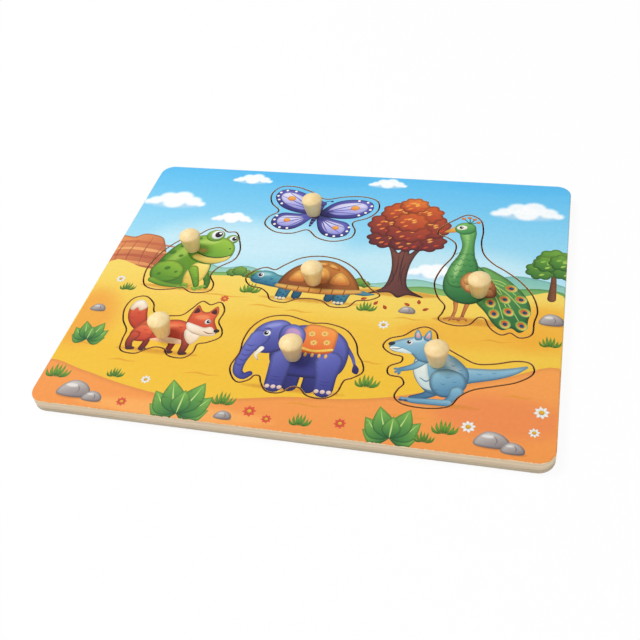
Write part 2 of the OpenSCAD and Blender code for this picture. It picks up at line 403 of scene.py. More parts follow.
def autumn_tree(x, y):
    ground_shadow(x + 2, y - 2, 28, 4)
    blob([(x - 16, y - 4), (x - 7, y + 3), (x - 5, y + 20), (x - 9, y + 38), (x - 16, y + 50),
          (x - 10, y + 48), (x - 3, y + 36), (x + 1, y + 52), (x + 5, y + 52), (x + 4, y + 36),
          (x + 11, y + 46), (x + 17, y + 50), (x + 9, y + 36), (x + 6, y + 20), (x + 8, y + 4),
          (x + 19, y - 4), (x + 9, y - 3), (x + 3, y - 6), (x - 3, y - 2)], "8e5646", "4e2e30", angle=150,
         rim=0.4, rim_width=2)
    for lean, low, high in ((-2.5, 4, 34), (1, 8, 40), (3.5, 2, 26), (-4, 2, 18)):
        stroke([(x + lean * 1.5, y + low), (x + lean * 0.6, y + (low + high) / 2),
                (x + lean * 0.9, y + high)], (0.3, 1.1, 0.3), "3e2428", cover=0.75)
    tones = (("963e32", "602a30"), ("b84e30", "7a3230"),
             ("d66430", "983e2e"), ("ec8238", "b44c2e"))
    crown = ((-13, 50, 13, 10, 0), (13, 49, 13, 10, 0), (0, 46, 11, 8, 0), (-15, 64, 13, 12, 1),
             (15, 64, 12, 12, 1), (0, 58, 15, 11, 1), (-8, 77, 13, 11, 2), (9, 77, 12, 10, 2),
             (0, 68, 12, 10, 2), (0, 86, 10, 8, 3))
    for turn, (at_x, at_y, across, tall, tone) in enumerate(crown):
        paint(lobed(x + at_x, y + at_y, across, tall, 9, 0.9 * turn), *tones[tone], angle=70, rim=0.32,
              rim_width=2.4)
        leaf_flecks(x + at_x, y + at_y, 0.85 * across, 8, ("fab256", "f68a3c", "cc482c"))


autumn_tree(47, 0)
for x, y, lean in ((30, -9, 20), (38, -12, 60), (57, -11, 150), (64, -8, 100), (69, -14, 30), (44, -15, 120)):
    reach_x, reach_y = 2.2 * math.cos(math.radians(lean)), 2.2 * math.sin(math.radians(lean))
    paint(leaf((x - reach_x, y - reach_y), (x + reach_x, y + reach_y), 2.4), "e87032", "be4a2c", angle=lean,
          rim=0.2)
told("autumn tree")

# %% Leafy plants
def leafy_plant(x, y, size):
    for lean, tall, width, bend in ((164, 17, 10, 3), (16, 17, 10, -3), (140, 21, 12, 2), (40, 21, 12, -2),
                                    (112, 24, 13, 1), (68, 24, 13, -1), (90, 16, 11, 0)):
        run_x, run_y = size * tall * math.cos(math.radians(lean)), size * tall * math.sin(math.radians(lean))
        paint(leaf((x, y), (x + run_x, y + run_y), width * size, bend * size), "88bc54", "2c6638", angle=lean,
              rim=0.28, rim_width=1.2)
        paint(leaf((x, y), (x + 0.9 * run_x, y + 0.9 * run_y), 0.9 * size, bend * size), "c8e086", cover=0.85)


for x, y, size in ((64, -113, 0.95), (-57, -114, 1.1), (-134, -66, 0.7)):
    leafy_plant(x, y, size)
told("leafy plants")

# %% Grass
BLADES = 7


def grass(x, y, size):
    for i in range(BLADES):
        lean = 2 * i / (BLADES - 1) - 1
        tall = (10 - 4 * abs(lean) + (i * 37 % 5) * 0.7) * size
        paint(leaf((x + lean * 2.2 * size, y), (x + lean * 8 * size, y + tall), 2.1 * size,
                   -lean * 1.6 * size), "9cc248", "42782c", angle=90, rim=0.2, rim_width=0.8)


for x, y, size in ((-44, -13, 0.9), (33, -20, 0.8), (45, -80, 0.9), (-33, -104, 0.9), (92, -106, 0.9),
                   (143, -36, 0.8), (-140, -98, 1.0), (14, -112, 0.8), (-126, -20, 0.7), (82, -113, 0.7),
                   (-104, -93, 0.7)):
    grass(x, y, size)
told("grass")

# %% Stones
def stone(x, y, across, tall):
    mist(oval(x + 1, y - tall * 0.8, across * 1.15, tall * 0.4), "8c542c", 0.5, 1.5)
    blob([(x - across, y - 0.7 * tall), (x - 0.9 * across, y + 0.2 * tall), (x - 0.3 * across, y + tall),
          (x + 0.5 * across, y + 0.8 * tall), (x + across, y), (x + 0.9 * across, y - 0.75 * tall),
          (x, y - 0.95 * tall)], "d0c8c2", "7c7272", angle=110, rim=0.28, rim_width=1.5)
    mist(oval(x - 0.25 * across, y + 0.4 * tall, 0.45 * across, 0.3 * tall), "f2eee8", 0.75, 1.2)
    stroke([(x + 0.1 * across, y + 0.5 * tall), (x + 0.3 * across, y), (x + 0.2 * across, y - 0.5 * tall)],
           (0.3, 0.8, 0.3), "686062", cover=0.6)


for x, y, across, tall in ((-124, -105, 10, 6.5), (-111, -109, 6, 4), (143, -14, 7, 5), (58, -16, 5, 3.2),
                           (117, -106, 9, 5.5), (128, -110, 6, 4), (-138, -38, 5, 3.4), (-30, -111, 5, 3.2)):
    stone(x, y, across, tall)
told("stones")

# %% Flowers
def flower(x, y, size, petal, shade):
    for i in range(8):
        a = i * math.pi / 4 + 0.2
        paint(leaf((x, y), (x + 4.6 * size * math.cos(a), y + 4.6 * size * math.sin(a)), 2.7 * size), petal,
              shade, angle=math.degrees(a), rim=0.12, rim_width=0.6)
    dot(x, y, 1.6 * size, 1.6 * size, 0, "f4c838", "d48c28", rim=0.2, rim_width=0.6)


for x, y, size in ((104, -99, 0.9), (141, -84, 0.95), (46, -30, 0.8), (-134, -10, 0.75), (138, -98, 0.7),
                   (-84, -92, 0.7)):
    flower(x, y, size, "fcfcf8", "d8dad6")
for x, y, size in ((-16, -106, 0.9), (-5, -110, 0.7), (-58, -20, 0.7), (36, -107, 0.8), (-92, -110, 0.75)):
    flower(x, y, size, "f0684a", "c43a32")
told("flowers")

# %% [markdown]
# ## Seven animals
# Each animal is drawn inside its own sawn outline with a few millimetres of landscape left round it,
# as on the real pieces. The far limbs come first, then the body, then the head and the near limbs. A
# darker rim inside each outline gives the rounded look of a shaded drawing.

# %% Frog
def eye(x, y, size, look_x):
    dot(x, y, size, size * 1.08, 0, "fffffa", "d6dce0", angle=90, rim=0.3, rim_width=0.6)
    x += look_x * size
    y += 0.08 * size
    dot(x, y, size * 0.62, size * 0.74, 0, "2e262c", "120e1c", angle=90)
    dot(x + size * 0.18, y + size * 0.3, size * 0.22, size * 0.22, 0, "ffffff")


ground_shadow(-93, -13.5, 27, 3)
frog_skin = "9cc244", "548a2a"
stroke([(-80, 3), (-75, -5), (-74, -11)], (6, 4.5, 3.6), "609032", "406e28", angle=90, rim=0.3)
dot(-70.8, 37.2, 4.6, 4.8, 0, *frog_skin, angle=90, rim=0.28)
eye(-70.2, 37.8, 2.9, 0.3)
blob([(-115.5, 2), (-112, -9), (-98, -12.5), (-84, -11), (-77.5, -1), (-77.5, 12), (-84, 26), (-96, 35),
      (-106, 29.5), (-112.5, 17)], "80ac34", "3c7026", angle=60, rim=0.38, rim_width=2.2)
mist(smooth_loop([(-112, 6), (-106, 24), (-97, 32), (-90, 28), (-100, 12)]), "b4d260", 0.65, 4)
blob([(-78.5, 11), (-88, 11), (-92, 1), (-90, -10), (-83, -10.5), (-78, -2)], "f8e480", "e0b64c", rim=0.2)
blob([(-100, 34), (-99, 24), (-92, 14), (-80, 10.5), (-69, 15), (-65.6, 23), (-67, 31), (-73, 37), (-84, 40),
      (-94, 39)], "a0c648", "548c2c", angle=70, rim=0.32, rim_width=2)
mist(oval(-86, 33, 9, 4, 8), "cade78", 0.6, 3)
blob([(-67, 20.5), (-76, 17.5), (-90, 20), (-92, 16), (-80, 11.5), (-70, 14.5)], "f4e07e", "d6ba56", rim=0.14)
stroke([(-65.8, 22), (-72, 18.6), (-82, 18), (-91, 22), (-93.4, 25)], (0.5, 1.0, 1.1, 0.9, 0.3), "30501e")
mist(oval(-87.5, 24, 4, 3), "ec965c", 0.6, 2.2)
dot(-69.4, 27.6, 0.9, 0.6, 40, "385c22")
dot(-83.5, 40, 6.6, 6.2, 0, "a8cc50", "5e9430", angle=90, rim=0.3)
eye(-82.6, 41, 4.3, 0.22)
blob([(-117, 0), (-114, 9), (-104, 12), (-95, 6), (-94, -3), (-101, -9), (-112, -9)], "94bc3c", "4a7e28",
     angle=70, rim=0.38, rim_width=2)
stroke([(-113, -8), (-105, -11), (-97, -12), (-91, -11.6)], (5, 4.6, 3.6, 2.6), "8eb63a", "52862a", rim=0.3)
stroke([(-88, 5), (-84, -3), (-81, -10)], (7, 5.4, 4), "98c040", "54882c", angle=60, rim=0.32)
for x, y, lean in ((-88.2, -12.6, -10), (-89, -10, 5), (-91.5, -13.4, -14), (-78.5, -12.6, -8),
                   (-81.5, -13.4, -40), (-76.5, -10.8, 18)):
    dot(x, y, 2.5, 1.25, lean, "a8ca4e", "6a9a34", rim=0.28, rim_width=0.7)
for x, y, r in ((-108, 20, 2.6), (-112, 11, 1.8), (-103, 27, 1.9), (-101, 17, 1.7), (-106, 4, 2.2),
                (-110, -2, 1.5), (-99, 1, 1.3), (-93, 36, 1.3)):
    dot(x, y, r, r * 0.8, 30, "447424", "366220", cover=0.8)
told("frog")

# %% Butterfly
wing_dark = "686ac0", "343276"
wing_pale = "eeeafc", "9292da"
spot_orange = "f8be5e", "e2803a"
WING_MIDDLE = -19, 71
WING_LEAN = math.radians(8)


def on_wing(outline, side):
    x, y = outline[:, 0] * side, outline[:, 1]
    c, s = math.cos(WING_LEAN), math.sin(WING_LEAN)
    return np.stack([WING_MIDDLE[0] + x * c + y * s, WING_MIDDLE[1] - x * s + y * c], 1)


for side in (-1, 1):
    hind = [(2, -2), (14, -3.4), (24, -5), (28.4, -11), (27.4, -18), (20.5, -22), (11.5, -20.6), (5, -13)]
    hind_panel = [(7, -6), (15, -6.4), (22, -8), (24.6, -12), (23.4, -16.6), (18.6, -18.6), (12.5, -17),
                  (8, -11.6)]
    fore = [(2, 3), (7, 13), (15, 19), (26, 21.6), (34, 19.8), (36.6, 13), (33.4, 6.4), (26.5, 0.6),
            (15, -2.4), (3, -1.6)]
    fore_panel = [(6.5, 4.5), (11, 12), (18, 16), (26, 18), (31, 16.4), (32.2, 12), (28, 6.6), (20, 2.8),
                  (12, 1.6)]
    for wing, panel in ((hind, hind_panel), (fore, fore_panel)):
        paint(on_wing(smooth_loop(wing), side), *wing_dark, angle=70, rim=0.38, rim_width=2)
        paint(on_wing(smooth_loop(panel), side), *wing_pale, angle=95, rim=0.14)
    for x, y, root in ((27, 17.4, 3), (31.6, 13, 3), (26, 6, 3), (23.6, -10, -5), (22.6, -16.4, -5),
                       (14.4, -17.6, -5)):
        vein = band([(5, root), (0.52 * x + 2.5, 0.52 * y + 0.6 * root), (x, y)], (1.0, 0.8, 0.4))
        paint(on_wing(vein, side), "5050a4", cover=0.9)
    for x, y in ((34.4, 16.6), (34.8, 12.4), (32.6, 8.6), (29, 4.8), (30.6, 19.8), (24, 20.2), (26.8, -9),
                 (26.8, -13.4), (24.8, -18), (20, -20.4), (14.6, -20)):
        paint(on_wing(oval(x, y, 0.95, 0.95), side), "fffaec")
    paint(on_wing(oval(24, 11.8, 3.2, 2.6, 20), side), *spot_orange, rim=0.22, rim_width=0.8)
    paint(on_wing(oval(18, -11.8, 2.4, 2.2), side), *spot_orange, rim=0.22, rim_width=0.8)
    paint(on_wing(band([(0.6, 12.6), (2.6, 14.6), (5, 15.4)], (0.8, 0.7, 0.7)), side), "2a265a")
    paint(on_wing(oval(5.6, 15.2, 1.0, 0.9), side), "2a265a")
body = band([(0, 9), (0, 2), (0, -6), (0, -14)], (4.4, 4.8, 3.8, 1.6))
paint(on_wing(body, 1), "605eb0", "262256", angle=30, rim=0.38, rim_width=1.5)
for y in (-3, -6, -9, -12):
    paint(on_wing(band([(-1.6, y), (0, y - 0.4), (1.6, y)], (0.5, 0.8, 0.5)), 1), "9898da", cover=0.75)
paint(on_wing(oval(0, 11, 2.9, 2.8), 1), "6866b8", "2a265e", angle=70, rim=0.32)
told("butterfly")

# %% Turtle
def inner(points):
    centre = np.mean(points, 0)
    return centre + 0.5 * (np.array(points) - centre)


ground_shadow(-4, -15, 35)
turtle_skin = "62acb8", "245a7a"
stroke([(20, -3), (29, -5), (35.4, -5)], (6, 4, 1), *turtle_skin, angle=70, rim=0.3)
for x in (-13, 8):
    stroke([(x, -4), (x, -9), (x - 0.4, -12)], (7, 6, 6), "36708a", "204c68", rim=0.38)
blob([(-20, 4), (-28, 5.6), (-34, 8.6), (-40, 9), (-45, 6), (-47, 1), (-44.6, -2.6), (-38, -4.2),
      (-30, -5.6), (-20, -6)], "70b8be", "2a6484", rim=0.32, rim_width=2)
mist(oval(-39, 5.6, 6, 2.8), "b6e0dc", 0.65, 2.2)
stroke([(-46.4, 0.8), (-43.4, -0.6), (-40, 0.2)], (0.4, 0.9, 0.3), "183a52")
eye(-40.6, 4.6, 2.2, -0.25)
dot(-45.6, 3.6, 0.5, 0.4, 0, "183a52")
for x, w in ((-22, 9.5), (15.5, 10.5)):
    stroke([(x + 1.5, -2), (x, -8), (x - 0.6, -12.6)], (w, w * 0.9, w * 0.86), *turtle_skin, angle=60,
           rim=0.38, rim_width=2)
    for shift in (-3, -0.6, 1.8):
        dot(x + shift - 0.4, -15, 1.2, 1.2, 0, "faeed0", "d4ba94", rim=0.18, rim_width=0.5)
    for at_x, at_y in ((-1, -6), (1.6, -8.6), (-2, -10), (0.4, -11.6)):
        dot(x + at_x, at_y, 1.0, 0.8, 0, "1c506e", cover=0.75)
for x, y in ((-33, 1.6), (-30, -2), (-36, -1.4), (-26, 0.6)):
    dot(x, y, 1.1, 0.8, 20, "26607e", cover=0.7)
blob([(-27, -5), (-26.4, 5), (-20.5, 14.6), (-11, 21), (-3, 23.2), (6, 21.6), (15.5, 14.8), (23, 4.6),
      (25.4, -5), (14, -7.6), (0, -8.4), (-16, -7.6)], "d6863c", "743e22", rim=0.42, rim_width=2.4)
scutes = (
    [(-9.5, 1), (-11, 9), (-7.6, 15.6), (0.6, 15.8), (4.6, 9.4), (3.4, 1)],
    [(-21.6, 1), (-21, 7.4), (-16.6, 12.6), (-12.6, 9), (-11.4, 1.2)],
    [(5.2, 1), (6.6, 9.2), (11, 12.8), (16.6, 8), (18.6, 1)],
    [(-15.4, 14), (-8.8, 17.2), (-7.4, 20.6), (-11, 19.4)],
    [(1.4, 17.2), (9, 14.2), (8.4, 17.6), (3, 20.6)],
    [(-7, 17.4), (0, 17.6), (0.6, 21), (-5.8, 21)],
)
for scute in scutes:
    blob(scute, "f0b65a", "bc662e", angle=90, rim=0.32, rim_width=1.4)
    blob(inner(scute), "fad078", "d68640", angle=90, cover=0.7)
stroke([(-27.6, -3.6), (-14, -5.4), (0, -6), (14, -5.4), (26, -3.6)], (3.4, 5, 5.4, 5, 3.4), "f6c86a",
       "c27838", angle=90, rim=0.28)
for x in (-21, -13.5, -6, 1.5, 9, 16.5):
    stroke([(x, -3.2), (x - 0.3, -8)], (0.8, 0.8), "8a4c28", cover=0.85)
told("turtle")

# %% Peacock
ground_shadow(98, -21, 25, 4)
blob([(98, 28), (110, 22.5), (120, 13.4), (127.6, 3), (130.6, -7), (129.6, -16), (129, -23), (125, -26.6),
      (120.4, -23.6), (115, -25.6), (109.6, -21), (104, -12), (95, 0), (92, 14)], "78b05e", "286038",
     angle=110, rim=0.34, rim_width=2.4)
tail_x, tail_y = 100, 17
feather_eyes = ((126, -20.6), (116.4, -20.2), (127, -9.4), (117.6, -9.8), (109.4, -12.4), (124, 1.4),
                (114.6, 0.6), (117.6, 10.4), (106.6, -3.4))
for x, y in feather_eyes:
    stroke([(tail_x, tail_y), (0.5 * (tail_x + x) + 1.5, 0.5 * (tail_y + y) + 2.5), (x, y)], (0.4, 0.7, 0.5),
           "bed872", cover=0.85)
for x, y in feather_eyes:
    lean = math.degrees(math.atan2(y - tail_y, x - tail_x))
    dot(x, y, 4.3, 3.4, lean, "d0de78", "7ca848", angle=lean, rim=0.28, rim_width=1)
    dot(x, y, 2.9, 2.2, lean, "ee9842", "c25e2e", angle=lean)
    dot(x + 0.4 * math.cos(math.radians(lean)), y + 0.4 * math.sin(math.radians(lean)), 1.6, 1.35, lean,
        "266070", "183652", angle=lean)
for x, lean in ((92, 1.4), (86.5, -0.6)):
    stroke([(x + lean, -4), (x, -12), (x - 1, -18.6)], (3.4, 2.2, 2.0), "e09854", "a65a34", angle=0, rim=0.3,
           rim_width=0.8)
    for toe_x, toe_y in ((-6, -20.6), (-2.6, -21.4), (2.2, -20.8)):
        stroke([(x - 1, -18.4), (x + toe_x * 0.6, -19.6), (x + toe_x, toe_y)], (1.8, 1.6, 0.8), "e09854",
               "ae6038", angle=90, rim=0.25, rim_width=0.6)
blob([(76, 14), (77.6, 3), (85, -5), (96, -6), (104, 2), (106, 14), (100, 25), (92, 31), (84, 30), (78, 23)],
     "64ac5e", "266038", angle=100, rim=0.38, rim_width=2.4)
blob([(80.6, 66), (81, 58), (83.6, 48), (82.4, 38), (78.6, 28), (77, 18), (80, 9), (88, 8), (95, 16),
      (96, 28), (93, 38), (91.6, 50), (91.6, 62), (88, 69)], "82c06a", "347842", angle=160, rim=0.34,
     rim_width=2.2)
mist(smooth_loop([(83, 62), (85.4, 48), (83.6, 36), (80, 24), (82.6, 14), (86, 24), (88, 40), (88, 58)]),
     "b8dc90", 0.75, 2.4)
for row, y in enumerate((39.4, 34, 28.6, 23, 17.6, 12.4)):
    for k in range(4):
        x = 80.6 + 3.6 * k + 1.8 * (row % 2)
        stroke([(x - 1.5, y + 0.9), (x, y - 0.8), (x + 1.5, y + 0.9)], (0.4, 0.8, 0.4), "286036", cover=0.6)
blob([(87, 17), (92, 22.6), (101, 21), (108, 12), (109, 2), (101, 0.6), (92, 4), (87, 10)], "e4a05a",
     "9c5432", angle=120, rim=0.34, rim_width=1.8)
for x, y in ((104.6, 4.6), (98.6, 4), (93.4, 7.6), (103, 11), (97, 11.4), (92, 13.6), (97.6, 17.4)):
    blob([(x - 3.4, y + 3), (x + 1.6, y + 3.4), (x + 3.6, y - 0.6), (x + 1, y - 3), (x - 3, y - 1.4)],
         "f4c276", "b86a3c", angle=120, rim=0.32, rim_width=1)
blob([(78.4, 66.4), (73.6, 63.4), (70.4, 60), (73.6, 59.6), (79, 61)], "fac85e", "d4883a", angle=90,
     rim=0.28, rim_width=0.8)
dot(84, 65, 7, 6.3, 12, "86c46e", "387e46", angle=110, rim=0.32)
dot(81.6, 65.6, 3.4, 2.3, 10, "faf8e8", "dee2cc", angle=90)
dot(81.2, 65.8, 1.3, 1.4, 0, "2c242a", "120e1c", angle=90)
dot(81.6, 66.4, 0.45, 0.45, 0, "ffffff")
crest_x, crest_y = 86, 70
for x, y in ((81.6, 75.2), (85.4, 76.4), (89, 75), (91.8, 72)):
    stroke([(crest_x, crest_y), (0.5 * (crest_x + x) + 0.4, 0.5 * (crest_y + y)), (x, y)], (0.9, 0.7, 0.6),
           "2c663c")
    dot(x, y, 1.5, 1.3, 0, "f0a248", "c26232", rim=0.22, rim_width=0.5)
told("peacock")

# %% Fox
ground_shadow(-86, -69.6, 29)
fox_fur = "e86c44", "ac3224"
fox_cream = "fff9ea", "e6c8a6"
blob([(-101, -47), (-103.6, -39), (-106, -32.4), (-110.6, -28), (-115, -29.6), (-117, -36), (-114.6, -45),
      (-109, -52), (-102, -55)], *fox_fur, angle=100, rim=0.35, rim_width=2)
blob([(-105.6, -33.4), (-110.4, -27.8), (-115.2, -29.8), (-116.8, -35.8), (-114, -37.6), (-112, -34.8),
      (-109.4, -37.4)], *fox_cream, angle=90, rim=0.16)
for points in ([(-97, -56), (-95.4, -63), (-96.4, -68.4)], [(-79, -57), (-78.6, -64), (-79.4, -68.4)]):
    stroke(points, (6.4, 4.2, 4), "a4362a", "6c2222", rim=0.38)
blob([(-106, -50), (-100, -43), (-90, -43.2), (-80, -42), (-70, -46), (-66.4, -54), (-70, -61), (-82, -62),
      (-94, -61), (-103, -61)], *fox_fur, angle=90, rim=0.38, rim_width=2.2)
mist(smooth_loop([(-100, -46), (-90, -45.4), (-80, -44.6), (-74, -47), (-84, -50), (-96, -50)]), "f89a6a",
     0.75, 2.6)
blob([(-94, -60.6), (-84, -57.6), (-74, -58.6), (-72, -61.4), (-82, -62.2)], "fadeb8", "e2ae84", angle=90)
blob([(-108, -55), (-104, -48.6), (-97, -49), (-93, -55), (-96, -62), (-103, -63), (-107.4, -60)], "ee764c",
     "b03628", rim=0.34, rim_width=2)
stroke([(-104.6, -58), (-106, -64), (-104.6, -68.6)], (7, 4.8, 4.4), "d85638", "5e2424", angle=90, rim=0.32)
stroke([(-71, -54), (-70, -62), (-70.4, -68.6)], (8, 5.2, 4.4), "de5e3c", "5e2424", angle=90, rim=0.32)
for x in (-103.4, -95.4, -69.4, -78.4):
    dot(x, -69, 2.9, 1.5, 0, "5e2e2c", "3a1c20", angle=90)
for x, y in ((-99, -53), (-96.4, -56.6), (-102.6, -56), (-86, -49), (-81, -51.4), (-90, -53.6), (-77.6, -48),
             (-112, -44), (-109, -39.6)):
    stroke([(x - 1.6, y + 0.5), (x, y - 0.3), (x + 1.4, y + 0.7)], (0.2, 0.8, 0.2), "962a22", cover=0.55)
blob([(-64, -50), (-63.4, -56), (-67, -61.4), (-72, -57), (-74, -50), (-68, -47)], *fox_cream, rim=0.14)
blob([(-75.6, -41), (-74.6, -33), (-72.4, -27.6), (-68.4, -32.4), (-64.4, -33), (-60, -27.4), (-57.6, -33),
      (-58, -40), (-54, -47.6), (-54.6, -52), (-61, -53.6), (-70, -51.6), (-74.6, -47)], "f07a4a", "b83a28",
     rim=0.32, rim_width=1.8)
mist(oval(-66.6, -38, 6, 3.4), "faa26e", 0.6, 2.4)
for ear in ([(-73.6, -35), (-72.4, -30), (-69.8, -33.6)], [(-62.6, -33.4), (-60.2, -29.8), (-58.8, -34.4)]):
    blob(ear, "622e2a", "401e22", angle=90)
blob([(-54.4, -50), (-58.4, -45.6), (-63, -46.6), (-68.6, -45), (-75, -43.6), (-73, -49.6), (-67, -52.4),
      (-60, -53.6), (-55, -52.4)], *fox_cream, angle=90, rim=0.14)
dot(-54.2, -48.4, 1.9, 1.6, 0, "3e2a2e", "1c1218", angle=90)
stroke([(-55.4, -50.4), (-59, -51), (-62.4, -49.6)], (0.4, 0.8, 0.3), "78382c")
eye(-62.2, -41.4, 2.0, 0.2)
told("fox")

# %% Elephant
ground_shadow(4, -87.4, 33)
elephant_hide = "7076c4", "303276"
stroke([(27, -50), (32.6, -58), (35.6, -65)], (3, 2.2, 1.6), *elephant_hide, angle=0, rim=0.3, rim_width=0.8)
blob([(35, -63.6), (38.4, -67), (38, -71), (34.8, -69.4)], "3c3670", "242050", angle=90)
for x in (1.6, 12.6):
    stroke([(x, -68), (x, -78), (x, -84.4)], (10, 9, 9), "464892", "262862", angle=60, rim=0.38)
blob([(-14, -42), (-4, -37), (8, -36), (20, -39.6), (28, -48), (30.4, -60), (28, -72), (18, -77), (4, -77.6),
      (-10, -75), (-17, -60)], *elephant_hide, rim=0.38, rim_width=2.6)
mist(smooth_loop([(2, -58), (20, -58), (27, -62), (25, -70), (8, -74), (-4, -70)]), "3a3c82", 0.5, 5)
for x, lean, width in ((-8, -7.6, 14), (20, 21.4, 17)):
    stroke([(x, -64), (0.4 * x + 0.6 * lean, -76), (lean, -85)], (width, 12.4, 11.5), "6a70be", "36387e",
           angle=120, rim=0.34, rim_width=2)
    for shift in (-3.6, 0, 3.6):
        dot(lean + shift, -86.6, 1.5, 1.5, 0, "f4dece", "ccaaa4", angle=90, rim=0.18, rim_width=0.5)
    for y in (-79, -81.4):
        stroke([(lean - 3.4, y + 0.3), (lean, y - 0.4), (lean + 3.4, y + 0.3)], (0.2, 0.7, 0.2), "303270",
               cover=0.6)
blob([(1, -35.9), (10, -35.6), (19.6, -39), (21, -48), (19.4, -57), (9, -59), (0.4, -57.4), (-1.6, -46)],
     "f8a250", "dc642e", rim=0.24, rim_width=2)
stroke([(-0.4, -54.6), (9, -56.6), (19.6, -54.4)], (2, 2, 2), "fcd870", "eab046", angle=90, rim=0.15,
       rim_width=0.5)
for x in (0.6, 4.6, 8.8, 13, 17):
    dot(x + 0.2, -60, 1.0, 1.7, 0, "fcd870", "e0943c", angle=90, rim=0.2, rim_width=0.4)
for x, y in ((5, -43), (12.6, -42), (15.4, -49), (7.6, -50)):
    flower(x, y, 0.52, "ffea98", "f0be60")
blob([(-8, -40), (-14, -34), (-23, -35.6), (-29.6, -42), (-31.6, -52), (-28, -60), (-18, -62), (-9, -56)],
     "7a80cc", "3c3e86", angle=90, rim=0.34, rim_width=2.2)
stroke([(-26, -50), (-30, -60), (-32, -70), (-31.4, -78), (-27.4, -81.4), (-24, -79)], (13, 9, 7, 6, 5, 4),
       "767cca", "3c3e88", angle=150, rim=0.32, rim_width=1.8)
for y in (-57, -61, -65, -69, -73):
    x = -29.4 + 0.14 * (y + 57)
    stroke([(x - 3, y + 0.6), (x, y - 0.4), (x + 2.4, y + 0.6)], (0.3, 0.7, 0.3), "2e306e", cover=0.75)
mist(oval(-20, -39, 6, 2.6, 20), "a8aee6", 0.6, 2)
stroke([(-22.4, -58.6), (-24.6, -64), (-22, -68)], (3.4, 2.6, 0.8), "fffae8", "e0ceb0", angle=90, rim=0.22,
       rim_width=0.6)
blob([(-13, -38), (-6, -36.8), (0.6, -42), (1.6, -51), (-3, -58.6), (-9, -58.4), (-13.6, -52), (-15, -44)],
     "8288d2", "40428c", angle=60, rim=0.38, rim_width=2)
blob([(-10.6, -41), (-5.6, -40), (-1.6, -44), (-1, -50.6), (-4.4, -55.4), (-8.4, -54.4), (-11.6, -48.6)],
     "d0a4cc", "8c6cb2", angle=60, rim=0.12)
eye(-22.4, -46, 2.3, -0.25)
stroke([(-25, -42.6), (-22.6, -41.8), (-20.4, -42.8)], (0.3, 0.8, 0.3), "30306e", cover=0.85)
told("elephant")

# %% Kangaroo
ground_shadow(84, -86.4, 27, 2.5)
kangaroo_fur = "a8d0de", "5082a6"
kangaroo_pale = "f4f6ee", "c0d4d4"
stroke([(92, -65), (102, -63), (114, -60.6), (124, -57), (131, -53)], (15, 11, 8, 5.4, 2), *kangaroo_fur,
       angle=100, rim=0.32, rim_width=2)
stroke([(84, -76), (78, -81), (71, -83.6)], (8, 5, 3.4), "5c8caa", "3c668a", rim=0.32)
blob([(78, -43), (86, -47.6), (94, -53), (100, -61), (99.6, -71), (92, -79), (80, -79), (72, -71),
      (68.6, -61), (70, -50)], *kangaroo_fur, angle=110, rim=0.34, rim_width=2.4)
blob([(70.6, -52), (75.6, -57), (78, -66), (81.6, -76), (76, -75.4), (71.4, -69), (69, -61)], *kangaroo_pale,
     angle=90, rim=0.12)
mist(smooth_loop([(84, -49), (92, -54), (97, -61), (92, -64), (85, -57)]), "d2eaf0", 0.75, 3)
stroke([(73.6, -68.4), (77.6, -70.6), (80.6, -67)], (0.5, 1.0, 0.4), "5a7e94", cover=0.9)
blob([(80, -64), (88, -60), (97, -63), (100, -71), (95, -79), (86, -80.6), (80, -74)], "98c6d8", "487a9e",
     angle=110, rim=0.36, rim_width=2.2)
stroke([(95, -76), (93, -81), (90, -84.4)], (8, 5.4, 4.6), "8ebed2", "4c7ea2", angle=90, rim=0.32)
stroke([(91.6, -84.6), (82, -85), (73, -85.4), (66, -84.8)], (4.6, 4.4, 3.8, 2.6), "98c6d8", "5082a4",
       angle=90, rim=0.32, rim_width=1)
for x in (65.6, 68.2):
    dot(x, -85.8, 1.4, 0.8, 0, "46607a", "2c425e", angle=90)
for x, y in ((89, -66), (93, -69), (87, -71.4), (106, -61.4), (114, -59.6), (91, -57), (95, -60)):
    stroke([(x - 1.5, y + 0.4), (x, y - 0.3), (x + 1.5, y + 0.5)], (0.2, 0.8, 0.2), "467698", cover=0.55)
stroke([(75, -54), (69, -60.6), (61.4, -64)], (6, 4.6, 3), "9ecada", "5486a8", angle=60, rim=0.34,
       rim_width=1.2)
for x, y, lean in ((59.4, -63.6, 10), (60, -65.6, 40), (61.6, -66.4, 70)):
    dot(x, y, 1.6, 0.9, lean, "6e9cb8", "446e90", angle=90)
blob([(79, -45), (77, -38.6), (71, -36.4), (64.6, -37.8), (58.4, -40.4), (53.8, -43), (52.4, -46.6),
      (54.4, -50), (60, -51), (66, -51.4), (71, -56), (78, -56)], "aed6e2", "5a8cac", angle=90, rim=0.32,
     rim_width=2)
mist(oval(68, -40, 5, 2.6, 20), "d6ecf2", 0.65, 2)
blob([(53, -47.4), (57, -46.8), (63, -48.6), (66.4, -51), (60, -50.8), (54.8, -49.6)], *kangaroo_pale,
     angle=90)
for ear in ([(67, -40), (65.6, -35.4), (67, -31.2), (69.4, -34.6), (70.4, -39)],
            [(71.6, -39), (72, -34.4), (74.4, -30.8), (75.8, -35), (75.6, -40)]):
    blob(ear, "98c6d8", "5688a8", angle=90, rim=0.32, rim_width=1)
    blob(inner(ear), "f2c6c0", "d09494", angle=90)
dot(53.6, -44.4, 2.1, 1.5, 25, "3a4054", "1c202e", angle=90)
stroke([(54, -48.4), (57.4, -48.4), (60.4, -47)], (0.3, 0.7, 0.3), "446680")
eye(63.8, -42.2, 2.0, -0.2)
print("whole picture:", len(inks), "outlines")

# %% [markdown]
# ## From outlines to sawn and printed wood
# The saw follows the CAD outline exactly, so each sheet starts from the edge loops of its solid's flat
# top. A constrained triangulation then cuts that face along the saw line and along every inked outline
# at once. Loose points between them carry the soft shading. The alternative, a plain face with a
# picture on it, would need an image file and would blur at the edges of the drawing.

